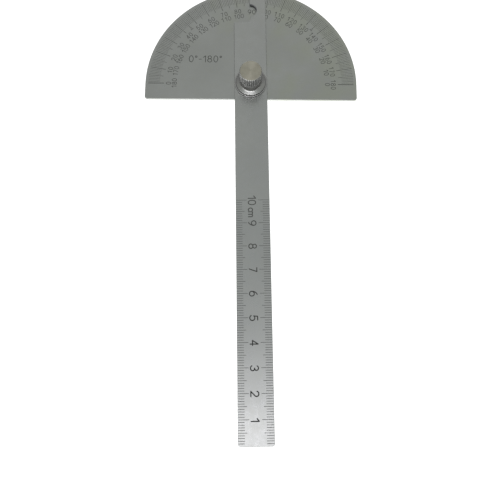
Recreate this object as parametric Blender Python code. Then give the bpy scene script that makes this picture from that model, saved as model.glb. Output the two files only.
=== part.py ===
"""Protractor with a ruler arm, modelled in metres with +Z up.

A half-disc head carries a ruler arm on a screw.  A knurled thumb nut on a
washer clamps the arm to the head at any angle.  The origin is the centre of
the screw head's flat underside, on which the tool rests.  The arm points
along -Y, turned a little to one side, and the half-disc opens toward +Y.
"""

from math import acos, atan2, cos, pi, radians, sin, sqrt

import bmesh
import bpy

MM = 0.001

# ---- driving dimensions (metres) -------------------------------------------
GAP = 0.2 * MM                   # air between pieces that bear on each other
EDGE_BREAK = 0.12 * MM           # tumbled edge of the stamped plates

HEAD_RADIUS = 47.35 * MM         # half-disc, centred on the pivot
HEAD_DROP = 7.5 * MM             # pivot to the straight edge
HEAD_THICKNESS = 1.2 * MM
HEAD_CORNER = 1.2 * MM           # round at both ends of the straight edge

ARM_WIDTH = 14.5 * MM
ARM_THICKNESS = 1.0 * MM
ARM_LENGTH = 154.8 * MM          # pivot to the zero end of the ruler
ARM_CORNER = 1.0 * MM            # round at both corners of the zero end
ARM_TIP_RADIUS = 46.8 * MM       # tip end, an arc about the pivot
ARM_SHOULDER = 30.4 * MM         # pivot to the step that bares the scale
ARM_STEP_ROUND = 2.2 * MM        # round in the inner corner of that step
NOTCH_CENTRE = 36.2 * MM         # reading notch on the arm's centre line
NOTCH_RADIUS = 3.2 * MM
ARM_REST_ANGLE = radians(1.45)   # swing of the arm away from square

SCREW_HEAD_RADIUS = 4.5 * MM
SCREW_HEAD_THICKNESS = 1.2 * MM
SCREW_HEAD_CHAMFER = 0.35 * MM
SQUARE_NECK = 4.4 * MM           # across flats, sits in the head's square hole
SHANK_RADIUS = 2.0 * MM
THREAD_PITCH = 0.7 * MM
THREAD_DEPTH = 0.38 * MM
THREAD_TURNS = 9
SCREW_TIP = 0.5 * MM             # plain chamfered end above the thread

WASHER_RADIUS = 7.2 * MM
WASHER_THICKNESS = 0.3 * MM

FLANGE_RADIUS = 6.6 * MM         # collar under the knob
FLANGE_RIM = 0.24 * MM
FLANGE_RISE = 0.58 * MM          # rise of the coned face from rim to fillet
FLANGE_FILLET = 0.3 * MM         # hollow between the coned face and the waist
NECK_RADIUS = 4.6 * MM           # smooth waist between the collar and the knurl
NECK_HEIGHT = 3.63 * MM
KNOB_RADIUS = 4.9 * MM
KNOB_HEIGHT = 9.5 * MM           # collar underside to the knob's flat top
KNOB_CHAMFER = 0.24 * MM
KNURLS = 36
KNURL_DEPTH = 0.2 * MM
BORE_RADIUS = 2.2 * MM
BORE_DEPTH = 7.6 * MM

# ---- stack heights ---------------------------------------------------------
HEAD_Z = SCREW_HEAD_THICKNESS + GAP
ARM_Z = HEAD_Z + HEAD_THICKNESS + GAP
WASHER_Z = ARM_Z + ARM_THICKNESS + GAP
NUT_Z = WASHER_Z + WASHER_THICKNESS + GAP


def clear_scene():
    for obj in list(bpy.data.objects):
        bpy.data.objects.remove(obj, do_unlink=True)


def make_material(name, colour, roughness, metallic=1.0):
    mat = bpy.data.materials.new(name)
    mat.use_nodes = True
    shader = mat.node_tree.nodes["Principled BSDF"]
    shader.inputs["Base Color"].default_value = (*colour, 1.0)
    shader.inputs["Roughness"].default_value = roughness
    shader.inputs["Metallic"].default_value = metallic
    return mat


def add_object(name, bm, material, smooth_angle=radians(30)):
    """Turn a bmesh into a named object with one material."""
    bmesh.ops.remove_doubles(bm, verts=bm.verts, dist=1e-7)
    bmesh.ops.recalc_face_normals(bm, faces=bm.faces)
    mesh = bpy.data.meshes.new(name)
    bm.to_mesh(mesh)
    bm.free()
    mesh.shade_smooth()
    mesh.set_sharp_from_angle(angle=smooth_angle)
    mesh.materials.append(material)
    obj = bpy.data.objects.new(name, mesh)
    bpy.context.collection.objects.link(obj)
    return obj


# ---- outlines --------------------------------------------------------------
def arc(cx, cy, radius, start, end, count):
    """Points on an arc from angle start to angle end, both included."""
    return [(cx + radius * cos(start + (end - start) * i / count),
             cy + radius * sin(start + (end - start) * i / count))
            for i in range(count + 1)]


def head_outline():
    """Half-disc above the pivot line, short straight sides below it."""
    r, c, low = HEAD_RADIUS, HEAD_CORNER, -HEAD_DROP
    points = arc(0.0, 0.0, r, 0.0, pi, 120)
    points += arc(-r + c, low + c, c, pi, 1.5 * pi, 6)
    points += arc(r - c, low + c, c, 1.5 * pi, 2.0 * pi, 6)
    return points


def arm_outline():
    """Ruler blade: plain at the zero end, cut back to its centre line at the tip."""
    half, c = ARM_WIDTH / 2, ARM_CORNER
    points = arc(-half + c, -ARM_LENGTH + c, c, pi, 1.5 * pi, 6)
    points += arc(half - c, -ARM_LENGTH + c, c, 1.5 * pi, 2.0 * pi, 6)
    # the tip end, from the outer edge back to the index edge on the centre line
    points += arc(0.0, 0.0, ARM_TIP_RADIUS, acos(half / ARM_TIP_RADIUS), pi / 2, 8)
    # the reading notch bites into the blade, then meets the step's round
    x_round = NOTCH_RADIUS * 0.1
    low = atan2(-sqrt(NOTCH_RADIUS ** 2 - x_round ** 2), x_round)
    points += arc(0.0, NOTCH_CENTRE, NOTCH_RADIUS, pi / 2, low, 20)
    points += arc(x_round - ARM_STEP_ROUND, ARM_SHOULDER + ARM_STEP_ROUND,
                  ARM_STEP_ROUND, 0.0, -pi / 2, 8)
    points += arc(-half + 0.5 * MM, ARM_SHOULDER - 0.5 * MM, 0.5 * MM, pi / 2, pi, 4)
    return points


def circle(radius, count):
    return arc(0.0, 0.0, radius, 0.0, 2 * pi * (count - 1) / count, count - 1)


def square(side):
    h = side / 2
    return [(h, h), (-h, h), (-h, -h), (h, -h)]


def plate(outline, hole, z, thickness):
    """Flat plate with one hole and a small chamfer on its outer edges."""
    bm = bmesh.new()
    outer = [bm.verts.new((x, y, z)) for x, y in outline]
    inner = [bm.verts.new((x, y, z)) for x, y in hole]
    edges = [bm.edges.new((ring[i - 1], ring[i]))
             for ring in (outer, inner) for i in range(len(ring))]
    bmesh.ops.triangle_fill(bm, use_beauty=True, use_dissolve=False, edges=edges)
    bmesh.ops.recalc_face_normals(bm, faces=bm.faces)
    lower = list(bm.faces)
    result = bmesh.ops.extrude_face_region(bm, geom=lower, use_keep_orig=True)
    moved = [v for v in result["geom"] if isinstance(v, bmesh.types.BMVert)]
    bmesh.ops.translate(bm, verts=moved, vec=(0.0, 0.0, thickness))
    bmesh.ops.recalc_face_normals(bm, faces=bm.faces)
    rim = [e for e in bm.edges if len(e.link_faces) == 2
           and abs(e.verts[0].co.z - e.verts[1].co.z) < 1e-9
           and abs(e.calc_face_angle(0.0)) > radians(80)
           and min(v.co.xy.length for v in e.verts) > 4 * MM]
    bmesh.ops.bevel(bm, geom=rim, offset=EDGE_BREAK, segments=1, profile=0.5,
                    affect="EDGES", clamp_overlap=True)
    bmesh.ops.triangulate(bm, faces=bm.faces)
    return bm


# ---- turned pieces ---------------------------------------------------------
def lathe(bm, profile, rings):
    """Skin between consecutive rings; ring(radius, z) gives each ring's points."""
    loops = [[bm.verts.new(p) for p in rings(r, z)] for r, z in profile]
    for lower, upper in zip(loops, loops[1:]):
        for i in range(len(lower)):
            bm.faces.new((lower[i - 1], lower[i], upper[i], upper[i - 1]))
    return loops


def cap(bm, loop, z):
    """Close a ring with a fan about its axis."""
    centre = bm.verts.new((0.0, 0.0, z))
    for i in range(len(loop)):
        bm.faces.new((loop[i - 1], loop[i], centre))


def round_ring(count):
    def ring(radius, z):
        return [(x, y, z) for x, y in circle(radius, count)]
    return ring


def build_screw(material):
    """Flat-headed screw: square neck, plain pivot shank, thread, chamfered tip."""
    segments = 24
    bm = bmesh.new()
    # turned head
    profile = [(SCREW_HEAD_RADIUS - SCREW_HEAD_CHAMFER, 0.0),
               (SCREW_HEAD_RADIUS, SCREW_HEAD_CHAMFER),
               (SCREW_HEAD_RADIUS, SCREW_HEAD_THICKNESS)]
    loops = lathe(bm, profile, round_ring(48))
    cap(bm, loops[0], 0.0)
    # square neck up to just under the top of the head plate
    neck_low, neck_top = SCREW_HEAD_THICKNESS, HEAD_Z + HEAD_THICKNESS - 0.1 * MM
    side = SQUARE_NECK - 2 * GAP
    foot = [bm.verts.new((x, y, neck_low)) for x, y in square(side)]
    crown = [bm.verts.new((x, y, neck_top)) for x, y in square(side)]
    for i in range(4):
        bm.faces.new((foot[i - 1], foot[i], crown[i], crown[i - 1]))
    bridge_flat(bm, loops[-1], foot)
    # plain shank for the arm and the washer, then the thread
    thread_low = WASHER_Z + WASHER_THICKNESS
    shank = lathe(bm, [(SHANK_RADIUS, neck_top), (SHANK_RADIUS, thread_low - 0.2 * MM),
                       (SHANK_RADIUS - THREAD_DEPTH, thread_low)],
                  round_ring(segments))
    bridge_flat(bm, crown, shank[0])
    top_loop, top_z = thread_skin(bm, shank[-1], thread_low, segments)
    tip = lathe(bm, [(SHANK_RADIUS - THREAD_DEPTH, top_z),
                     (SHANK_RADIUS - THREAD_DEPTH, top_z + 0.5 * SCREW_TIP),
                     (SHANK_RADIUS - THREAD_DEPTH - 0.3 * MM, top_z + SCREW_TIP)],
                round_ring(segments))
    for i in range(segments):
        bm.faces.new((top_loop[i - 1], top_loop[i], tip[0][i], tip[0][i - 1]))
    cap(bm, tip[-1], top_z + SCREW_TIP)
    bmesh.ops.triangulate(bm, faces=bm.faces)
    return add_object("pivot_screw", bm, material)


def bridge_flat(bm, outer, inner):
    """Fill the flat ring between two loops of any size at one height."""
    edges = []
    for loop in (outer, inner):
        for i in range(len(loop)):
            edge = bm.edges.get((loop[i - 1], loop[i]))
            edges.append(edge or bm.edges.new((loop[i - 1], loop[i])))
    bmesh.ops.triangle_fill(bm, use_beauty=True, use_dissolve=False, edges=edges)


def thread_skin(bm, start_loop, z_low, segments):
    """Helical thread from a flat ring at its foot to a flat ring at its top.

    Every row of the grid climbs one pitch per turn.  The flat end rings meet
    the first and last rows, whose seams are closed with one fan each.
    """
    crest, root = SHANK_RADIUS, SHANK_RADIUS - THREAD_DEPTH
    profile = [(0.0, root), (0.3, crest), (0.45, crest), (0.75, root)]
    lead_in = 0.25 * THREAD_PITCH
    rows = []
    for turn in range(THREAD_TURNS):
        for offset, radius in profile:
            height = z_low + lead_in + THREAD_PITCH * (turn + offset)
            if turn in (0, THREAD_TURNS - 1):       # the end turns run out shallow
                radius = 0.5 * (radius + root)
            rows.append([(radius * cos(2 * pi * i / segments),
                          radius * sin(2 * pi * i / segments),
                          height + THREAD_PITCH * i / segments)
                         for i in range(segments)])
    grid = [[bm.verts.new(p) for p in row] for row in rows]
    step = len(profile)
    for k in range(len(grid) - 1):
        for i in range(segments - 1):
            bm.faces.new((grid[k][i], grid[k][i + 1], grid[k + 1][i + 1], grid[k + 1][i]))
    for k in range(len(grid) - step - 1):
        bm.faces.new((grid[k][-1], grid[k + step][0], grid[k + step + 1][0],
                      grid[k + 1][-1]))
    # foot: flat ring to the first row, with the seam's rows in one fan
    low = start_loop
    for i in range(segments - 1):
        bm.faces.new((low[i], low[i + 1], grid[0][i + 1], grid[0][i]))
    fan = [grid[k][0] for k in range(step + 1)] + [grid[0][-1]]
    hub = [low[-1], low[0]] + fan
    bm.faces.new(hub)
    # top: last row to a flat ring, again with one fan at the seam
    top_z = rows[-1][-1][2] + lead_in
    high = [bm.verts.new((root * cos(2 * pi * i / segments),
                          root * sin(2 * pi * i / segments), top_z))
            for i in range(segments)]
    for i in range(segments - 1):
        bm.faces.new((grid[-1][i], grid[-1][i + 1], high[i + 1], high[i]))
    fan = [grid[k][-1] for k in range(len(grid) - 1, len(grid) - step - 2, -1)]
    bm.faces.new([high[-1]] + fan + [grid[-1][0], high[0]])
    return high, top_z


def build_washer(material):
    """Flat washer, free on the shank."""
    bm = bmesh.new()
    inner, outer = SHANK_RADIUS + GAP, WASHER_RADIUS
    low, high = WASHER_Z, WASHER_Z + WASHER_THICKNESS
    edge = 0.08 * MM
    profile = [(inner, low), (outer - edge, low), (outer, low + edge),
               (outer, high - edge), (outer - edge, high), (inner, high), (inner, low)]
    lathe(bm, profile, round_ring(48))
    bmesh.ops.triangulate(bm, faces=bm.faces)
    return add_object("washer", bm, material)


def knurl_ring(teeth):
    """Ring of straight knurls; the radius given is that of their crests."""
    def ring(radius, z):
        points = []
        for i in range(4 * teeth):
            swing = (0.0, 0.0, KNURL_DEPTH, KNURL_DEPTH)[i % 4]
            angle = 2 * pi * (i + (0.25 if i % 2 else 0.0)) / (4 * teeth)
            points.append(((radius - swing) * cos(angle), (radius - swing) * sin(angle), z))
        return points
    return ring


def build_nut(material):
    """Thumb nut: coned collar, smooth waist, knurled knob and a blind bore."""
    bm = bmesh.new()
    count = 4 * KNURLS
    plain, knurled = round_ring(count), knurl_ring(KNURLS)
    z = NUT_Z
    rim_top = z + FLANGE_RIM
    cone_top = rim_top + FLANGE_RISE
    knurl_low = cone_top + NECK_HEIGHT
    knurl_high = z + KNOB_HEIGHT - KNOB_CHAMFER
    edge, hollow = 0.1 * MM, FLANGE_FILLET
    cone = radians(20)
    fillet = [(NECK_RADIUS + hollow * (1.0 - sin(a)), cone_top + hollow * (cos(cone) - cos(a)))
              for a in (cone, radians(43), radians(67), radians(90))]
    outside = lathe(bm, [(FLANGE_RADIUS - edge, z), (FLANGE_RADIUS, z + edge),
                         (FLANGE_RADIUS, rim_top - edge), (FLANGE_RADIUS - edge, rim_top)]
                    + fillet + [(NECK_RADIUS, knurl_low)], round_ring(88))
    knob = lathe(bm, [(KNOB_RADIUS, knurl_low), (KNOB_RADIUS, knurl_high)], knurled)
    bridge_flat(bm, knob[0], outside[-1])
    # the top edge is turned away through the knurls
    crown = [bm.verts.new(p) for p in plain(KNOB_RADIUS - KNOB_CHAMFER, z + KNOB_HEIGHT)]
    for i in range(count):
        bm.faces.new((knob[-1][i - 1], knob[-1][i], crown[i], crown[i - 1]))
    cap(bm, crown, z + KNOB_HEIGHT)
    bore = lathe(bm, [(BORE_RADIUS + 0.3 * MM, z), (BORE_RADIUS, z + 0.3 * MM),
                      (BORE_RADIUS, z + BORE_DEPTH)], round_ring(32))
    bridge_flat(bm, outside[0], bore[0])
    cap(bm, bore[-1], z + BORE_DEPTH + 0.9 * MM)
    bmesh.ops.triangulate(bm, faces=bm.faces)
    return add_object("thumb_nut", bm, material)


def main():
    clear_scene()
    steel = (0.30, 0.31, 0.30)
    head = add_object("protractor_head",
                      plate(head_outline(), square(SQUARE_NECK), HEAD_Z, HEAD_THICKNESS),
                      make_material("satin_head", steel, 0.42))
    arm = add_object("ruler_arm",
                     plate(arm_outline(), circle(SHANK_RADIUS + GAP, 32), ARM_Z, ARM_THICKNESS),
                     make_material("satin_arm", (0.32, 0.33, 0.32), 0.38))
    arm.rotation_euler[2] = ARM_REST_ANGLE
    screw = build_screw(make_material("screw_steel", (0.36, 0.36, 0.35), 0.30))
    build_washer(make_material("washer_steel", (0.40, 0.40, 0.39), 0.25))
    build_nut(make_material("nickel_nut", (0.44, 0.43, 0.40), 0.22))
    screw.parent = head


main()
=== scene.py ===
"""Looks for the protractor: engraved plates, turned and knurled fittings, satin steel.

Every piece is built in the CAD model's own frame (+Z up, pivot on the Z axis, ruler arm
toward -Y) and rides on the CAD body it belongs to. Sizes here are in millimetres, which
new_object turns into the frame's metres.
"""

from math import acos, asin, atan2, cos, hypot, pi, radians, sin, sqrt, tan
import bpy
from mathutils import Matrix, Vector
from mathutils.geometry import delaunay_2d_cdt


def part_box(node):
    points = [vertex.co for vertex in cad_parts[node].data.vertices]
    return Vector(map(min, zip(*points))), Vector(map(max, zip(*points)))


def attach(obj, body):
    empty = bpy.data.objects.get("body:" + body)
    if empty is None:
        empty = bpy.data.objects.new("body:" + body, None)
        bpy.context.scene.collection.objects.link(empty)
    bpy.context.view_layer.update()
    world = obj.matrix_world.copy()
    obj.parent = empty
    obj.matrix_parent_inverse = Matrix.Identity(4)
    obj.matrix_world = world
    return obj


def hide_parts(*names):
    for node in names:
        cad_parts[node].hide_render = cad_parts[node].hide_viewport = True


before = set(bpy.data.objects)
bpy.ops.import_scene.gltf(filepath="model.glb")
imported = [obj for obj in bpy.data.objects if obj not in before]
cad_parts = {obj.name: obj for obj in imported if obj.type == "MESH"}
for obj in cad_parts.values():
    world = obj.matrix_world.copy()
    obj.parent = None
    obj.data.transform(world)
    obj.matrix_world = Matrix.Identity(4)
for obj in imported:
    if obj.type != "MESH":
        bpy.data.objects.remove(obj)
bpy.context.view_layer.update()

MM = 0.001

# ---- sizes that the CAD model has too, in millimetres -----------------------
HEAD_RADIUS, HEAD_DROP, HEAD_CORNER = 47.35, 7.5, 1.2
ARM_WIDTH, ARM_LENGTH, ARM_CORNER = 14.5, 154.8, 1.0
ARM_TIP_RADIUS, ARM_SHOULDER, ARM_STEP_ROUND = 46.8, 30.4, 2.2
NOTCH_CENTRE, NOTCH_RADIUS = 36.2, 3.2
ARM_ANGLE = radians(1.45)
SQUARE_NECK, SHANK_RADIUS, GAP = 4.4, 2.0, 0.2
SCREW_HEAD_RADIUS, SCREW_HEAD_THICKNESS, SCREW_HEAD_CHAMFER = 4.5, 1.2, 0.35
SCREW_TIP = 0.5
THREAD_PITCH, THREAD_DEPTH = 0.7, 0.38
FLANGE_RADIUS, KNOB_RADIUS, KNURLS = 6.6, 4.9, 36
BORE_RADIUS, BORE_DEPTH = 2.2, 7.6

# ---- the nut's own shape here, inside the CAD solid's box --------------------
RIM_HEIGHT, RIM_ROUND = 0.09, 0.16                  # collar's upright rim, and the round over it
CONE_SLOPE, CONE_STEP = radians(17.5), 0.08         # collar's shallow cone, drawn in steps
STEEPER_INSIDE, STEEPER_BY = 5.6, radians(6.5)      # within this radius, more slope per mm
HOLLOW = 0.2                                        # round hollow between the cone and the waist
COLLAR_HEIGHT = 0.95                                # the collar's finish ends here
NECK_RADIUS = 4.84                                  # plain waist
KNURL_START, KNURL_RUNOUT, KNURL_DEPTH = 4.45, 0.3, 0.27
BEVEL_WIDTH, BEVEL_DROP = 0.08, 0.12                # steep bevel through the knurls' top ends
CROWN_WIDTH, CROWN_SLOPE = 0.22, radians(23)        # chamfer round the knob's flat top

# ---- engraving --------------------------------------------------------------
GROOVE = 0.07                    # depth of the filled marks
EDGE = 0.16                      # rounding of the plates' edges
SCALE_RADIUS = 46.0              # outer end of the head's degree lines
TICK = 0.145                     # width of a graduation at the arm's pivot end
BOLDER = 0.45                    # how much wider the graduations are at the free end
PEN, PEN_THINNER = 0.48, 0.012   # arm's numerals, thinner with each centimetre
RULER_ZERO = 0.15 - ARM_LENGTH   # y of the ruler's zero, just inside the arm's end
ARM_MIDDLE = -0.12               # x midway between the inner ends of the arm's graduations

# ---- colours inside the materials --------------------------------------------
HANDLED = (0.55, 0.56, 0.51)     # handling marks on satin steel
YELLOWED = (0.56, 0.59, 0.49)    # the head's warmer patches
PAINTED_SHADE_COLOUR = (0.10, 0.10, 0.095)       # painted shade on turned metal: the knurls' valleys and the washer round the collar


def heights(node):
    """Lowest and highest z of a CAD node, in millimetres."""
    low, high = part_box(node)
    return low[2] / MM, high[2] / MM


def graded(number, ten, five, one):
    """Pick a graduation's value: for the tens, for the fives, or for the rest."""
    return ten if number % 10 == 0 else five if number % 5 == 0 else one


# ============================================================================
# Outlines and marks, in millimetres in a plate's own plane
# ============================================================================
def arc(cx, cy, rx, start, end, count, ry=None):
    """Points on an arc (an ellipse's, if ry is given), both ends included."""
    ry = rx if ry is None else ry
    return [(cx + rx * cos(start + (end - start) * i / count),
             cy + ry * sin(start + (end - start) * i / count)) for i in range(count + 1)]


def head_outline():
    """Half-disc with its straight edge below the pivot and both corners rounded."""
    r, c, low = HEAD_RADIUS, HEAD_CORNER, -HEAD_DROP
    points = arc(0, 0, r, 0, pi, 360)
    points += arc(-r + c, low + c, c, pi, 1.5 * pi, 12)
    points += arc(r - c, low + c, c, 1.5 * pi, 2 * pi, 12)
    return points


def arm_outline():
    """Blade cut back to its centre line at the tip, with the round reading notch."""
    half, c = ARM_WIDTH / 2, ARM_CORNER
    points = arc(-half + c, -ARM_LENGTH + c, c, pi, 1.5 * pi, 12)
    points += arc(half - c, -ARM_LENGTH + c, c, 1.5 * pi, 2 * pi, 12)
    points += arc(0, 0, ARM_TIP_RADIUS, acos(half / ARM_TIP_RADIUS), pi / 2, 24)
    x_round = NOTCH_RADIUS * 0.1                       # notch ends, and the step's round starts
    low = atan2(-sqrt(NOTCH_RADIUS ** 2 - x_round ** 2), x_round)
    points += arc(0, NOTCH_CENTRE, NOTCH_RADIUS, pi / 2, low, 48)
    points += arc(x_round - ARM_STEP_ROUND, ARM_SHOULDER + ARM_STEP_ROUND,
                  ARM_STEP_ROUND, 0, -pi / 2, 20)
    shoulder_round = 0.5
    points += arc(-half + shoulder_round, ARM_SHOULDER - shoulder_round, shoulder_round,
                  pi / 2, pi, 8)
    return points


def offset(loop, distance):
    """Mitred offset of a counter-clockwise loop; positive goes inward."""
    out = []
    for i, (x, y) in enumerate(loop):
        (ax, ay), (bx, by) = loop[i - 1], loop[(i + 1) % len(loop)]
        ux, uy = x - ax, y - ay
        vx, vy = bx - x, by - y
        lu, lv = hypot(ux, uy), hypot(vx, vy)
        nx, ny = -uy / lu - vy / lv, ux / lu + vx / lv
        n = hypot(nx, ny)
        mitre = min(2.0 / max(n, 1e-6), 2.5)
        out.append((x + nx / n * distance * mitre, y + ny / n * distance * mitre))
    return out


class Marks:
    """Flat strokes that are sunk into a plate, kept as small convex faces."""

    def __init__(self):
        self.faces = []

    def bar(self, x0, y0, x1, y1, width):
        dx, dy = x1 - x0, y1 - y0
        n = 0.5 * width / hypot(dx, dy)
        nx, ny = -dy * n, dx * n
        self.faces.append([(x0 + nx, y0 + ny), (x0 - nx, y0 - ny),
                           (x1 - nx, y1 - ny), (x1 + nx, y1 + ny)])

    def stroke(self, points, width):
        """Ribbon along a line, with round ends; a closed line has none."""
        closed = hypot(points[0][0] - points[-1][0], points[0][1] - points[-1][1]) < 1e-6
        line = points[:-1] if closed else points
        n, sides = len(line), []
        for i, (x, y) in enumerate(line):
            ax, ay = line[i - 1] if closed or i else line[0]
            bx, by = line[(i + 1) % n] if closed or i < n - 1 else line[-1]
            ux, uy, vx, vy = x - ax, y - ay, bx - x, by - y
            lu, lv = hypot(ux, uy) or 1.0, hypot(vx, vy) or 1.0
            nx, ny = -uy / lu - vy / lv, ux / lu + vx / lv
            size = hypot(nx, ny)
            whole = closed or 0 < i < n - 1
            reach = width / 2 * (min(2 / size, 1.5) if whole else 1.0)    # mitre, held short
            nx, ny = nx / size * reach, ny / size * reach
            sides.append(((x + nx, y + ny), (x - nx, y - ny)))
        for i in range(n if closed else n - 1):
            (al, ar), (bl, br) = sides[i], sides[(i + 1) % n]
            self.faces.append([al, ar, br, bl])
        if not closed:                                 # half-round ends, of six chords
            for end, ((lx, ly), (rx, ry)) in ((-1, sides[0]), (1, sides[-1])):
                cx, cy = (lx + rx) / 2, (ly + ry) / 2
                a = atan2(ly - cy, lx - cx)
                self.faces.append([(cx + width / 2 * cos(a - end * pi * k / 6),
                                    cy + width / 2 * sin(a - end * pi * k / 6))
                                   for k in range(7)])


def glyph(char):
    """Width and pen lines of a character one unit tall, in a plain drafting hand."""
    w = 0.62
    if char == "0":
        return w, [arc(w / 2, 0.5, w / 2, 0, 2 * pi, 20, ry=0.5)]
    if char == "1":
        return 0.34, [[(0.0, 0.74), (0.32, 1.0)], [(0.32, 1.0), (0.32, 0.0)]]
    if char == "2":
        top = arc(w / 2, 0.70, w / 2, radians(165), radians(-28), 12, ry=0.30)
        return w, [top + [(0.0, 0.0)], [(0.0, 0.0), (w, 0.0)]]
    if char == "3":
        upper = arc(w / 2, 0.755, w / 2 - 0.03, radians(160), radians(-90), 12, ry=0.245)
        lower = arc(w / 2, 0.265, w / 2, radians(90), radians(-160), 14, ry=0.265)
        return w, [upper, lower]
    if char == "4":
        return w, [[(0.46, 0.0), (0.46, 1.0)], [(0.46, 1.0), (0.0, 0.30)], [(0.0, 0.30), (w, 0.30)]]
    if char == "5":
        bowl = arc(w / 2 - 0.02, 0.32, w / 2 + 0.02, radians(128), radians(-155), 16, ry=0.32)
        return w, [[(w - 0.06, 1.0), (0.09, 1.0)], [(0.09, 1.0), (0.05, 0.5)], bowl]
    if char in "69":
        bowl = arc(w / 2, 0.31, w / 2, 0, 2 * pi, 18, ry=0.31)
        back = arc(w + 0.02, 0.31, w + 0.02, radians(180), radians(112), 10, ry=0.74)
        lines = [bowl, back]
        if char == "9":
            lines = [[(w - x, 1.0 - y) for x, y in line] for line in lines]
        return w, lines
    if char == "7":
        return 0.5, [[(0.0, 1.0), (0.5, 1.0)], [(0.5, 1.0), (0.14, 0.0)]]
    if char == "8":
        return w, [arc(w / 2, 0.76, w / 2 - 0.05, 0, 2 * pi, 16, ry=0.24),
                   arc(w / 2, 0.265, w / 2, 0, 2 * pi, 18, ry=0.265)]
    if char == "c":
        return 0.46, [arc(0.25, 0.3, 0.25, radians(48), radians(312), 14, ry=0.3)]
    if char == "m":
        arch = arc(0.18, 0.42, 0.18, pi, 0, 8, ry=0.18)
        return 0.72, [[(0.0, 0.0), (0.0, 0.6)], arch + [(0.36, 0.0)],
                      [(x + 0.36, y) for x, y in arch] + [(0.72, 0.0)]]
    if char == "-":
        return 0.36, [[(0.0, 0.45), (0.36, 0.45)]]
    if char == "*":                                    # degree sign
        return 0.26, [arc(0.13, 0.85, 0.13, 0, 2 * pi, 12)]
    raise ValueError(char)


def write(marks, text, height, pen, place, gap=0.2, wide=1.0, pitch=None):
    """Write text, centred; place(x, y) maps the text's plane to the plate's.

    Characters stand a gap apart, or at an even pitch if one is given.
    """
    widths = [glyph(c)[0] * wide * height for c in text]
    x = -(sum(widths) + gap * height * (len(text) - 1)) / 2
    for i, (char, width) in enumerate(zip(text, widths)):
        if pitch:
            x = (i - (len(text) - 1) / 2) * pitch - width / 2
        for line in glyph(char)[1]:
            marks.stroke([place(x + px * wide * height, (py - 0.5) * height)
                          for px, py in line], pen)
        x += width + gap * height


def head_marks():
    """0-180 degree scale, numbered both ways, on the half-disc."""
    marks = Marks()
    for degree in range(181):
        inner = graded(degree, 39.0, 39.45, 40.75)
        width = 0.25 if degree in (0, 180) else graded(degree, 0.19, 0.14, 0.1)
        c, s = -cos(radians(degree)), sin(radians(degree))
        marks.bar(SCALE_RADIUS * c, SCALE_RADIUS * s, inner * c, inner * s, width)

    def around(radius, angle):
        """Placing for write: upright text on a radius, standing outward."""
        c, s = -cos(angle), sin(angle)                 # outward direction
        return lambda x, y: ((radius + y) * c + x * s, (radius + y) * s - x * c)

    height, pen, outer_row, inner_row = 2.05, 0.19, 36.95, 34.35
    for degree in range(0, 181, 10):
        angle = radians(degree)
        if degree == 90:                               # one larger numeral serves both rows
            write(marks, "90", 2.2, 0.22, around(36.2, angle), pitch=2.05)
            continue
        write(marks, str(degree), height, pen, around(outer_row, angle), wide=0.86, pitch=1.77)
        write(marks, str(180 - degree), height, pen, around(inner_row, angle), wide=0.92,
              pitch=1.68)
    for degree in (45, 135):                           # arrows at the half right angles
        place = around(38.8, radians(degree))
        legs = [place(0.0, 0.6), place(-0.55, -0.5), place(0.55, -0.5), place(0.0, 0.6)]
        marks.stroke(legs, 0.2)
    label_x, label_y = -20.7, 12.15                    # the scale's range, left of the arm
    write(marks, "0*-180*", 3.1, 0.27, lambda x, y: (label_x + x, label_y + y), 0.3, 0.95)
    return marks


def arm_marks():
    """Centimetre ruler along both edges, numbered from the free end."""
    marks = Marks()
    half = ARM_WIDTH / 2 - EDGE - 0.02                 # marks end just inside the rounded edge
    for k in range(1, 101):
        y = RULER_ZERO + k
        reach = graded(k, 2.5, 3.35, 4.35)
        width = TICK * (1 + BOLDER * (1 - k / 100) ** 2)
        marks.bar(-half, y, ARM_MIDDLE - reach, y, width)
        marks.bar(half, y, ARM_MIDDLE + reach, y, width)

    def sideways(x0, y0):                              # tops toward +X, read toward -Y
        return lambda x, y: (x0 + y, y0 - x)

    for number in range(1, 11):
        y = RULER_ZERO + 10 * number
        pen = PEN - PEN_THINNER * number
        write(marks, str(number), 3.2, pen, sideways(-0.3, y - 0.15), 0.25)
    write(marks, "cm", 3.0, 0.37, sideways(-0.4, -60.1), 0.1)
    return marks


# ============================================================================
# Mesh building
# ============================================================================
def new_object(name, verts, faces, materials, slots=None, smooth=None, sharp=radians(35)):
    """Object from plain lists, in millimetres; slots and smooth are per face."""
    mesh = bpy.data.meshes.new(name)
    mesh.from_pydata([Vector(v) * MM for v in verts], [], faces)
    for material in materials:
        mesh.materials.append(material)
    if slots:
        mesh.polygons.foreach_set("material_index", slots)
    if smooth is None:                                 # turned pieces
        mesh.shade_smooth()
        mesh.set_sharp_from_angle(angle=sharp)
    else:
        mesh.polygons.foreach_set("use_smooth", smooth)
    mesh.update()
    obj = bpy.data.objects.new(name, mesh)
    bpy.context.collection.objects.link(obj)
    return obj


def triangulate(rings, marks):
    """Triangles of a flat region (the first ring, less the other rings).

    Returns points, triangles and, for each triangle, whether a mark covers it.
    """
    points, faces = [], []
    for ring in rings + marks:
        area = sum(ax * by - bx * ay for (ax, ay), (bx, by) in zip(ring, ring[1:] + ring[:1]))
        ring = ring if area > 0 else ring[::-1]
        faces.append(list(range(len(points), len(points) + len(ring))))
        points.extend(Vector(p) for p in ring)
    all_triangles, merge_within = 0, 1e-5
    out = delaunay_2d_cdt(points, [], faces, all_triangles, merge_within, True)
    verts, triangles, origins, holes = out[0], [], [], range(1, len(rings))
    for triangle, inside in zip(out[2], out[5]):
        if 0 in inside and not any(h in inside for h in holes):
            triangles.append(list(triangle))
            origins.append(any(k >= len(rings) for k in inside))
    return verts, triangles, origins


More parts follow.
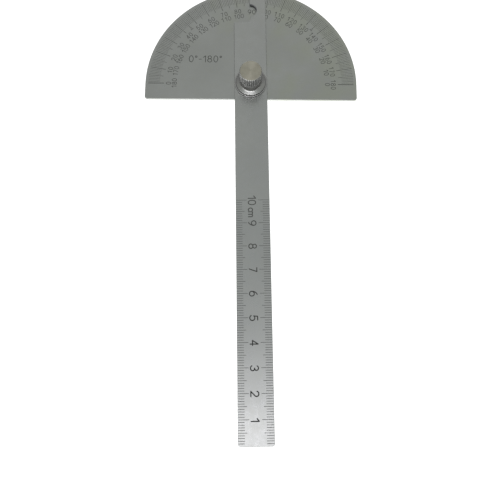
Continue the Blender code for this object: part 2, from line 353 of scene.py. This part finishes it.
def plate(name, outline, hole, marks, low, high, materials, turn=0.0, painted_shade_points=()):
    """Stamped plate with rounded edges, a hole, and marks sunk in its top.

    The rim takes the third material, a painted shade, at the outline points listed in the last
    argument.
    """
    verts, faces, slots, smooth = [], [], [], []

    def add(face, slot=0, soft=False):
        faces.append(face)
        slots.append(slot)
        smooth.append(soft)

    inset = offset(outline, EDGE)
    # top, with grooves
    flat, triangles, sunk = triangulate([inset, hole], marks)
    verts.extend((p.x, p.y, high) for p in flat)
    floor, sides = {}, {}
    for triangle, dark in zip(triangles, sunk):
        if dark:
            for v in triangle:
                if v not in floor:
                    floor[v] = len(verts)
                    verts.append((flat[v].x, flat[v].y, high - GROOVE))
            add([floor[v] for v in triangle], 1)
        else:
            add(triangle)
        for a, b in zip(triangle, triangle[1:] + triangle[:1]):
            sides[a, b] = dark
    for (a, b), dark in sides.items():
        if dark and sides.get((b, a)) is False:
            add([b, a, floor[a], floor[b]], 1)
    # rounded rim
    rings, steps = [], 4
    for k in range(2 * steps + 2):
        upper = k <= steps
        phi = pi / 2 * ((k if upper else 2 * steps + 1 - k) / steps)
        z = high - EDGE * (1 - cos(phi)) if upper else low + EDGE * (1 - cos(phi))
        ring = [(q[0] + (p[0] - q[0]) * sin(phi), q[1] + (p[1] - q[1]) * sin(phi), z)
                for p, q in zip(outline, inset)]
        rings.append(list(range(len(verts), len(verts) + len(ring))))
        verts.extend(ring)
    for upper, lower in zip(rings, rings[1:]):
        for i in range(len(upper)):
            # rim faces at the listed points take the third material, the painted shade
            add([lower[i - 1], lower[i], upper[i], upper[i - 1]], 2 if i in painted_shade_points else 0, True)
    # hole wall, smooth if it is round
    top_hole = list(range(len(verts), len(verts) + len(hole)))
    verts.extend((x, y, high) for x, y in hole)
    low_hole = list(range(len(verts), len(verts) + len(hole)))
    verts.extend((x, y, low) for x, y in hole)
    for i in range(len(hole)):
        add([top_hole[i - 1], top_hole[i], low_hole[i], low_hole[i - 1]], 0, len(hole) > 8)
    # underside
    under, triangles, _ = triangulate([inset, hole], [])
    base = len(verts)
    verts.extend((p.x, p.y, low) for p in under)
    for triangle in triangles:
        add([base + v for v in reversed(triangle)])
    c, s = cos(turn), sin(turn)
    verts = [(c * x - s * y, s * x + c * y, z) for x, y, z in verts]
    return new_object(name, verts, faces, materials, slots, smooth)


def lathe(profile, count, radius_at=None):
    """Surface of revolution from the axis at one end to the axis at the other.

    radius_at(r, z, angle) may vary the radius round the ring.
    """
    verts, faces, rings = [], [], []
    for r, z in profile:
        if r < 1e-6:
            rings.append([len(verts)] * count)
            verts.append((0, 0, z))
            continue
        rings.append(list(range(len(verts), len(verts) + count)))
        for i in range(count):
            a = 2 * pi * i / count
            q = radius_at(r, z, a) if radius_at else r
            verts.append((q * cos(a), q * sin(a), z))
    for lower, upper in zip(rings, rings[1:]):
        for i in range(count):
            quad = [lower[i - 1], lower[i], upper[i], upper[i - 1]]
            face = [v for k, v in enumerate(quad) if v not in quad[:k]]
            faces.append(face)
    return verts, faces


def rounded(points, radius, steps=4):
    """Profile with its inner corners rounded off by the given radius."""
    out = [points[0]]
    for (ax, ay), (bx, by), (cx, cy) in zip(points, points[1:], points[2:]):
        u = Vector((ax - bx, ay - by))
        v = Vector((cx - bx, cy - by))
        cut = min(radius, 0.45 * u.length, 0.45 * v.length)
        p, q = Vector((bx, by)) + u.normalized() * cut, Vector((bx, by)) + v.normalized() * cut
        for k in range(steps + 1):
            t = k / steps
            w = (1 - t) ** 2 * p + 2 * t * (1 - t) * Vector((bx, by)) + t * t * q
            out.append((w.x, w.y))
    return out + [points[-1]]


# ============================================================================
# Pieces
# ============================================================================
def build_plates(steel_head, steel_arm, pale_fill, dark_fill, painted_shade):
    """The half-disc head and the ruler arm, each with its marks."""
    low, high = heights("protractor_head")
    h = SQUARE_NECK / 2
    square = [(h, h), (-h, h), (-h, -h), (h, -h)]
    head = plate("head_plate", head_outline(), square, head_marks().faces,
                 low, high, [steel_head, pale_fill])
    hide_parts("protractor_head")
    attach(head, "head")
    low, high = heights("ruler_arm")
    sides = 64
    bore = arc(0, 0, SHANK_RADIUS + GAP, 0, 2 * pi * (sides - 1) / sides, sides - 1)
    outline = arm_outline()
    # the notch's wall, painted with shade: the outline's points on the notch circle
    notch = [i for i, (x, y) in enumerate(outline)
             if x > -0.5 and hypot(x, y - NOTCH_CENTRE) < NOTCH_RADIUS + 0.05]
    arm = plate("arm_blade", outline, bore, arm_marks().faces,
                low, high, [steel_arm, dark_fill, painted_shade], ARM_ANGLE, notch)
    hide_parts("ruler_arm")
    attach(arm, "arm")


def collar_profile(low, waist):
    """Collar from its rim to the waist: round rim, shallow cone, round hollow."""
    rim_turn, hollow_turn = 10, 8                      # steps of the two rounds
    profile = [(FLANGE_RADIUS - RIM_ROUND * (1 - sin(a)), low + RIM_HEIGHT + RIM_ROUND * cos(a))
               for a in (pi / 2 + (CONE_SLOPE - pi / 2) * k / rim_turn
                         for k in range(1, rim_turn + 1))]
    r, z = profile[-1]
    slope = CONE_SLOPE
    while r > waist + HOLLOW * (1 - sin(slope)):
        slope = CONE_SLOPE + STEEPER_BY * max(0.0, STEEPER_INSIDE - r)
        r, z = r - CONE_STEP, z + CONE_STEP * tan(slope)
        profile.append((r, z))
    start = asin(1 - (r - waist) / HOLLOW)
    profile += [(waist + HOLLOW * (1 - sin(a)), z + HOLLOW * (cos(start) - cos(a)))
                for a in (start + (pi / 2 - start) * k / hollow_turn
                          for k in range(1, hollow_turn + 1))]
    return profile


def build_nut(side_metal, face_metal, collar_metal):
    """Thumb nut: blind bore, mirror-like collar, waist, and knurled knob with a crown."""
    low, high = heights("thumb_nut")
    rim, waist, knob = FLANGE_RADIUS, NECK_RADIUS, KNOB_RADIUS
    crown = high - CROWN_WIDTH * tan(CROWN_SLOPE)
    knurl_low, knurl_high = low + KNURL_START, crown - BEVEL_DROP
    drill_point, mouth = 8.5, 0.3
    profile = [(0, low + drill_point)]
    profile += rounded([(BORE_RADIUS, low + BORE_DEPTH), (BORE_RADIUS, low + mouth),
                        (BORE_RADIUS + mouth, low), (rim, low), (rim, low + RIM_HEIGHT)], 0.1)
    profile += collar_profile(low, waist)
    profile += [(waist, knurl_low - 0.05)]
    climb, knurl_rows = knurl_high - knurl_low, 14
    profile += [(knob, knurl_low + climb * k / knurl_rows) for k in range(knurl_rows)]
    inner, crown_land = knob - BEVEL_WIDTH, 4.4
    profile += rounded([(knob, knurl_high - 0.1), (knob, knurl_high), (inner, crown),
                        (inner - CROWN_WIDTH, high), (crown_land, high)], 0.03)[1:]
    top_radius, top_rings = 4.0, 8                     # flat top, in rings down to the axis
    profile += [(top_radius * (1 - k / top_rings), high) for k in range(top_rings + 1)]

    def knurled(r, z, a):
        if z < knurl_low - 0.01:
            return r
        wave = 0.5 - 0.5 * cos(KNURLS * a)
        fade = min(1.0, (z - knurl_low) / KNURL_RUNOUT)
        crest = 1.2                                    # above 1, crests are wider than valleys
        valley = knob - KNURL_DEPTH * wave ** crest
        return min(r, waist + (valley - waist) * fade)  # the knurls run out round

    points_per_knurl = 12
    verts, faces = lathe(profile, KNURLS * points_per_knurl, knurled)
    finish = []                    # 0 knurled side, 1 flat top, 2 collar and top chamfer
    for face in faces:
        bottom, top = (pick(verts[v][2] for v in face) for pick in (min, max))
        polished = top < low + COLLAR_HEIGHT or bottom > knurl_high - 0.02
        finish.append(1 if bottom > high - 0.01 else 2 if polished else 0)
    nut = new_object("knurled_nut", verts, faces, [side_metal, face_metal, collar_metal],
                     finish, sharp=radians(50))
    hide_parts("thumb_nut")
    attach(nut, "nut")


def build_washer(metal):
    """Flat washer with broken edges and a rolled-over outer rim."""
    low, high = heights("washer")
    inner, outer = SHANK_RADIUS + GAP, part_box("washer")[1][0] / MM
    bore_break, low_break, roll_width, roll_drop, roll_steps = 0.05, 0.08, 0.24, 0.1, 8
    loop = [(inner, high - bore_break), (inner, low + bore_break), (inner + bore_break, low),
            (outer - low_break, low), (outer, low + low_break)]
    # up the outside, where the punched rim rolls over: steep at first, then flat
    loop += [(outer - roll_width * (1 - sin(a)), high - roll_drop * (1 - cos(a)))
             for a in (pi / 2 * (1 - k / roll_steps) for k in range(roll_steps + 1))]
    loop += [(inner + bore_break, high), (inner, high - bore_break)]
    verts, faces = lathe(loop, 144)
    washer = new_object("flat_washer", verts, faces, [metal])
    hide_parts("washer")
    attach(washer, "washer")


def build_screw(metal):
    """Flat-headed screw with a neck, a plain shank and a real helix.

    The neck isn't a true square: it tapers from round at its foot to a square at its top,
    and on from there to the shank's upper ring, through the wall of the arm's bore.
    """
    low, high = heights("pivot_screw")
    neck_low, neck_top = heights("protractor_head")
    thread_low = heights("washer")[1]
    count, rows_per_turn, runout = 72, 12, 0.6
    root = SHANK_RADIUS - THREAD_DEPTH
    thread_top = high - SCREW_TIP

    def helix(r, z, a):
        if r < root - 0.01 or not thread_low < z < thread_top:
            return r
        phase = ((z - thread_low) / THREAD_PITCH - a / (2 * pi)) % 1.0
        tooth = max(0.0, min(1.0, 2.2 - 6.0 * abs(phase - 0.5)))     # flat crest, sloped flanks
        fade = min(1.0, (z - thread_low) / runout, (thread_top - z) / runout)
        return root + THREAD_DEPTH * tooth * max(0.0, fade)

    side, corner_cut = (SQUARE_NECK - 2 * GAP) / 2, 1.36

    def shape(r, z, a):
        # Squares the rings near the shank's radius at the neck's top. It misses the ring at
        # the neck's foot, which lies below neck_low, and takes in the shank's lowest ring.
        if neck_low - 0.15 < z < neck_top - 0.05 and 1.99 < r < 2.02:
            c, s = abs(cos(a)), abs(sin(a))
            return min(side / max(c, s), side * corner_cut)
        return helix(r, z, a)

    top = low + SCREW_HEAD_THICKNESS
    head = rounded([(0, low), (SCREW_HEAD_RADIUS - SCREW_HEAD_CHAMFER, low),
                    (SCREW_HEAD_RADIUS, low + SCREW_HEAD_CHAMFER), (SCREW_HEAD_RADIUS, top),
                    (3.0, top)], 0.12)
    neck, neck_end = SHANK_RADIUS + 0.01, neck_top - 0.1
    body = [(neck, top), (neck, neck_end), (SHANK_RADIUS, neck_end),
            (SHANK_RADIUS, thread_low - 0.2)]
    rows = int((thread_top - thread_low) / THREAD_PITCH * rows_per_turn)
    body += [(root, thread_low + (thread_top - thread_low) * k / rows) for k in range(rows + 1)]
    body += [(root, thread_top + 0.2), (root - 0.3, high), (0, high)]
    verts, faces = lathe(head + body, count, shape)
    screw = new_object("pivot_screw_turned", verts, faces, [metal], sharp=radians(40))
    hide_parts("pivot_screw")
    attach(screw, "head")


# ============================================================================
# Materials
# ============================================================================
class Nodes:
    """Short helper for building a material's node tree."""

    def __init__(self, name):
        self.material = bpy.data.materials.new(name)
        self.material.use_nodes = True
        self.tree = self.material.node_tree
        self.shader = self.tree.nodes["Principled BSDF"]

    def add(self, kind, **inputs):
        node = self.tree.nodes.new("ShaderNode" + kind)
        for key, value in inputs.items():
            key = key.replace("_", " ")
            if isinstance(value, bpy.types.NodeSocket):
                self.tree.links.new(value, node.inputs[key])
            else:
                node.inputs[key].default_value = value
        return node

    def link(self, source, target):
        self.tree.links.new(source, target)

    def space(self, scale, turn=0.0):
        """Object coordinates in millimetres, stretched by the given scale."""
        coords = self.tree.nodes.new("ShaderNodeTexCoord")
        mapping = self.tree.nodes.new("ShaderNodeMapping")
        mapping.inputs["Rotation"].default_value = (0, 0, turn)
        mapping.inputs["Scale"].default_value = [1000 * s for s in scale]
        self.link(coords.outputs["Object"], mapping.inputs["Vector"])
        return mapping.outputs["Vector"]

    def noise(self, scale, detail=3.0, turn=0.0, roughness=0.55):
        node = self.add("TexNoise", Vector=self.space(scale, turn), Scale=1.0, Detail=detail,
                        Roughness=roughness)
        return node.outputs["Fac"]

    def ramp(self, value, low, high, start=0.3, end=0.7):
        """Map a value from start..end to low..high."""
        node = self.add("MapRange", Value=value)
        node.inputs["From Min"].default_value = start
        node.inputs["From Max"].default_value = end
        node.inputs["To Min"].default_value = low
        node.inputs["To Max"].default_value = high
        return node.outputs["Result"]

    def mix(self, factor, a, b):
        node = self.tree.nodes.new("ShaderNodeMix")
        node.data_type = "RGBA"
        self.link(factor, node.inputs["Factor"])
        for key, value in (("A", a), ("B", b)):
            socket = [s for s in node.inputs if s.name == key and s.type == "RGBA"][0]
            if isinstance(value, bpy.types.NodeSocket):
                self.link(value, socket)
            else:
                socket.default_value = (*value, 1.0)
        return [s for s in node.outputs if s.type == "RGBA"][0]

    def math(self, operation, a, b=0.0):
        node = self.tree.nodes.new("ShaderNodeMath")
        node.operation = operation
        for socket, value in zip(node.inputs, (a, b)):
            if isinstance(value, bpy.types.NodeSocket):
                self.link(value, socket)
            else:
                socket.default_value = value
        return node.outputs[0]

    def bump(self, height, strength, distance):
        node = self.add("Bump", Height=height, Strength=strength, Distance=distance)
        self.link(node.outputs["Normal"], self.shader.inputs["Normal"])


def satin_steel(name, light, dark, grain, turn, roughness, warm=0.0):
    """Satin-ground stainless: fine grain one way, faint stains and handling marks.

    Grain is the noise's scale along x, y and z, small along the ground lines. Warm is how
    far the metal yellows in patches toward +X and +Y.
    """
    n = Nodes(name)
    stains = n.noise((0.05, 0.05, 0.05), 4.0)
    mottle = n.noise((0.35, 0.35, 0.35), 5.0)
    lines = n.noise(grain, 4.0, turn, 0.7)
    body = n.mix(n.ramp(stains, 0, 1, 0.38, 0.62), light, dark)
    body = n.mix(n.ramp(mottle, 0.0, 0.25, 0.4, 0.7), body, HANDLED)
    if warm:
        per_x, per_y = 0.0055, 0.004                   # more of it per mm toward +X and +Y
        split = n.tree.nodes.new("ShaderNodeSeparateXYZ")
        n.link(n.space((1, 1, 1)), split.inputs[0])
        corner = n.math("ADD", n.math("MULTIPLY", split.outputs[0], per_x),
                        n.math("MULTIPLY", split.outputs[1], per_y))
        patch = n.math("ADD", n.noise((0.09, 0.09, 0.09), 3.0), corner)
        body = n.mix(n.ramp(patch, 0.0, warm, 0.58, 0.82), body, YELLOWED)
    n.link(body, n.shader.inputs["Base Color"])
    rough = n.math("ADD", n.ramp(mottle, roughness - 0.01, roughness + 0.02),
                   n.ramp(lines, -0.02, 0.03))
    n.link(rough, n.shader.inputs["Roughness"])
    n.shader.inputs["Metallic"].default_value = 1.0
    n.bump(lines, strength=0.12, distance=0.00002)
    return n.material


def turned_metal(name, light, dark, roughness, anisotropic=0.0, painted_shade=None):
    """Bright turned metal: tool rings about the axis, small tarnish, and painted shade.

    The painted shade is darkest at the first radius and gone at the second, above a height, in
    millimetres.
    """
    n = Nodes(name)
    rings = 3.0                                        # tool marks' noise, per mm
    coords = n.space((1, 1, 1))
    split = n.tree.nodes.new("ShaderNodeSeparateXYZ")
    n.link(coords, split.inputs[0])
    x, y = split.outputs[0], split.outputs[1]
    radius = n.math("SQRT", n.math("ADD", n.math("MULTIPLY", x, x), n.math("MULTIPLY", y, y)))
    line = n.tree.nodes.new("ShaderNodeCombineXYZ")
    n.link(n.math("MULTIPLY", radius, rings), line.inputs[0])
    n.link(n.math("MULTIPLY", split.outputs[2], rings), line.inputs[1])
    tool = n.add("TexNoise", Vector=line.outputs[0], Scale=1.0, Detail=4.0).outputs["Fac"]
    tarnish = n.noise((0.5, 0.5, 0.5), 4.0)
    body = n.mix(n.ramp(tarnish, 0, 1, 0.35, 0.7), light, dark)
    # painted shade: darkened toward the first radius, above the given height
    if painted_shade:
        thick, gone, height = painted_shade
        above = n.math("GREATER_THAN", split.outputs[2], height)
        cover = 0.75
        shade_mask = n.math("MULTIPLY", n.ramp(radius, cover, 0.0, thick, gone), above)
        body = n.mix(shade_mask, body, PAINTED_SHADE_COLOUR)
    n.link(body, n.shader.inputs["Base Color"])
    rough = n.math("ADD", n.ramp(tarnish, roughness - 0.03, roughness + 0.05),
                   n.ramp(tool, -0.03, 0.03))
    n.link(rough, n.shader.inputs["Roughness"])
    n.shader.inputs["Metallic"].default_value = 1.0
    n.shader.inputs["Anisotropic"].default_value = anisotropic
    if anisotropic:
        tangent = n.tree.nodes.new("ShaderNodeTangent")
        tangent.direction_type = "RADIAL"
        tangent.axis = "Z"
        n.link(tangent.outputs[0], n.shader.inputs["Tangent"])
        n.shader.inputs["Anisotropic Rotation"].default_value = 0.25
    n.bump(tool, strength=0.15, distance=0.00003)
    return n.material


def paint_fill(name, dark, light, worn=None):
    """Dark paint left in the etched marks, thin and a little uneven; also the painted shade on the
    arm's notch wall.

    If a worn colour is given, the paint fades to it along the arm, from near its free end.
    """
    n = Nodes(name)
    fresh_at, worn_at = -140.0, -60.0                  # y along the arm
    patch = n.noise((1.2, 1.2, 1.2), 3.0)
    body = n.mix(n.ramp(patch, 0, 1, 0.35, 0.7), dark, light)
    if worn:
        split = n.tree.nodes.new("ShaderNodeSeparateXYZ")
        n.link(n.space((1, 1, 1)), split.inputs[0])
        body = n.mix(n.ramp(split.outputs[1], 0.0, 1.0, fresh_at, worn_at), body, worn)
    n.link(body, n.shader.inputs["Base Color"])
    n.link(n.ramp(patch, 0.5, 0.7), n.shader.inputs["Roughness"])
    n.bump(patch, strength=0.2, distance=0.00002)
    return n.material


# ============================================================================
# Studio
# ============================================================================
def build_studio():
    """Sky that the steel reflects, a pale floor and one strip light."""
    scene = bpy.context.scene
    scene.view_settings.view_transform = "Standard"
    scene.view_settings.look = "None"
    world = bpy.data.worlds.new("studio")
    scene.world = world
    world.use_nodes = True
    tree = world.node_tree
    background = tree.nodes["Background"]
    split = tree.nodes.new("ShaderNodeSeparateXYZ")
    tree.links.new(tree.nodes.new("ShaderNodeTexCoord").outputs["Generated"], split.inputs[0])
    # pale low down, darkest a third of the way up, pale again overhead
    dome = tree.nodes.new("ShaderNodeValToRGB")
    tree.links.new(split.outputs["Z"], dome.inputs["Fac"])
    dome.color_ramp.elements[0].position, dome.color_ramp.elements[1].position = 0.05, 1.0
    dome.color_ramp.elements[0].color = (1.0, 0.98, 0.99, 1)
    dome.color_ramp.elements[1].color = (0.83, 0.865, 0.87, 1)
    for place, colour in ((0.22, (1.0, 0.98, 0.99, 1)), (0.34, (0.40, 0.39, 0.385, 1)),
                          (0.5, (0.50, 0.49, 0.49, 1)), (0.68, (0.82, 0.825, 0.85, 1)),
                          (0.8, (0.985, 1.0, 0.975, 1))):
        dome.color_ramp.elements.new(place).color = colour
    tree.links.new(dome.outputs["Color"], background.inputs["Color"])
    aside = tree.nodes.new("ShaderNodeMath")           # and darker to both sides
    aside.operation = "ABSOLUTE"
    tree.links.new(split.outputs["X"], aside.inputs[0])
    falloff = tree.nodes.new("ShaderNodeMapRange")
    falloff.interpolation_type = "SMOOTHSTEP"
    for socket, value in (("From Min", 0.24), ("From Max", 0.44), ("To Min", 0.455),
                          ("To Max", 0.3)):
        falloff.inputs[socket].default_value = value
    tree.links.new(aside.outputs[0], falloff.inputs["Value"])
    tree.links.new(falloff.outputs["Result"], background.inputs["Strength"])

    mesh = bpy.data.meshes.new("floor")
    half = 3.0
    mesh.from_pydata([(-half, -half, 0), (half, -half, 0), (half, half, 0), (-half, half, 0)],
                     [], [(0, 1, 2, 3)])
    floor = bpy.data.objects.new("floor", mesh)
    bpy.context.collection.objects.link(floor)
    n = Nodes("white_floor")
    n.shader.inputs["Base Color"].default_value = (0.9, 0.9, 0.9, 1)
    n.shader.inputs["Roughness"].default_value = 0.9
    n.shader.inputs["Emission Color"].default_value = (1, 1, 1, 1)
    n.shader.inputs["Emission Strength"].default_value = 0.9
    mesh.materials.append(n.material)

    # a narrow strip, high up and facing down: its blurred image lights the arm's free end
    strip = bpy.data.lights.new("strip_softbox", "AREA")
    strip.shape = "RECTANGLE"
    strip.size, strip.size_y = 1.5, 0.131
    strip.energy, strip.color = 2.33, (1.0, 0.965, 1.03)
    lamp = bpy.data.objects.new("strip_softbox", strip)
    lamp.location = (-0.4, -0.359, 1.5)
    lamp.rotation_euler = Vector((0, 0, -1)).to_track_quat("-Z", "Y").to_euler()
    bpy.context.collection.objects.link(lamp)


def build_camera():
    """Camera high over the arm, near its free end, tilted toward the head."""
    camera = bpy.data.cameras.new("camera")
    camera.sensor_width, camera.lens = 36.0, 41.1
    camera.clip_start, camera.clip_end = 0.01, 20.0
    obj = bpy.data.objects.new("camera", camera)
    top = heights("ruler_arm")[1]
    obj.location = Vector((1.91, -126.70, 233.22 + top)) * MM
    obj.rotation_euler = (radians(12.166), radians(0.202), radians(0.653))
    bpy.context.collection.objects.link(obj)
    bpy.context.scene.camera = obj


def main():
    """Build everything."""
    pale_fill = paint_fill("worn_fill", (0.072, 0.077, 0.07), (0.135, 0.14, 0.128))
    dark_fill = paint_fill("mark_fill", (0.006, 0.007, 0.006), (0.02, 0.022, 0.019),
                           (0.14, 0.145, 0.133))
    head = satin_steel("satin_head_steel", (0.58, 0.597, 0.573), (0.54, 0.556, 0.532),
                       (0.25, 9.0, 9.0), 0.0, 0.29, 0.6)
    arm = satin_steel("satin_arm_steel", (0.61, 0.624, 0.602), (0.573, 0.588, 0.571),
                      (9.0, 0.25, 9.0), -ARM_ANGLE, 0.28)
    # painted shade on the notch's wall, standing in for the shadow along it
    painted_shade = paint_fill("notch_wall_shade", (0.38, 0.39, 0.40), (0.45, 0.46, 0.47))
    build_plates(head, arm, pale_fill, dark_fill, painted_shade)
    # painted shade in the knurls' valleys, above the waist
    knurl_valley_shade = (KNOB_RADIUS - KNURL_DEPTH + 0.05, KNOB_RADIUS - 0.08, 8.9)
    # and painted shadow of the collar on the washer, close round it
    collar_shadow = (6.72, 6.94, 0.0)
    build_nut(turned_metal("nickel_side", (0.62, 0.62, 0.61), (0.54, 0.54, 0.53), 0.23,
                           painted_shade=knurl_valley_shade),
              turned_metal("nickel_face", (0.68, 0.655, 0.54), (0.62, 0.59, 0.485), 0.33, 0.85),
              turned_metal("nickel_collar", (0.62, 0.63, 0.60), (0.55, 0.56, 0.535), 0.23))
    build_washer(turned_metal("bright_washer", (0.64, 0.64, 0.63), (0.56, 0.56, 0.55), 0.2,
                              painted_shade=collar_shadow))
    build_screw(turned_metal("turned_steel", (0.56, 0.56, 0.55), (0.48, 0.48, 0.47), 0.3))
    build_studio()
    build_camera()


main()
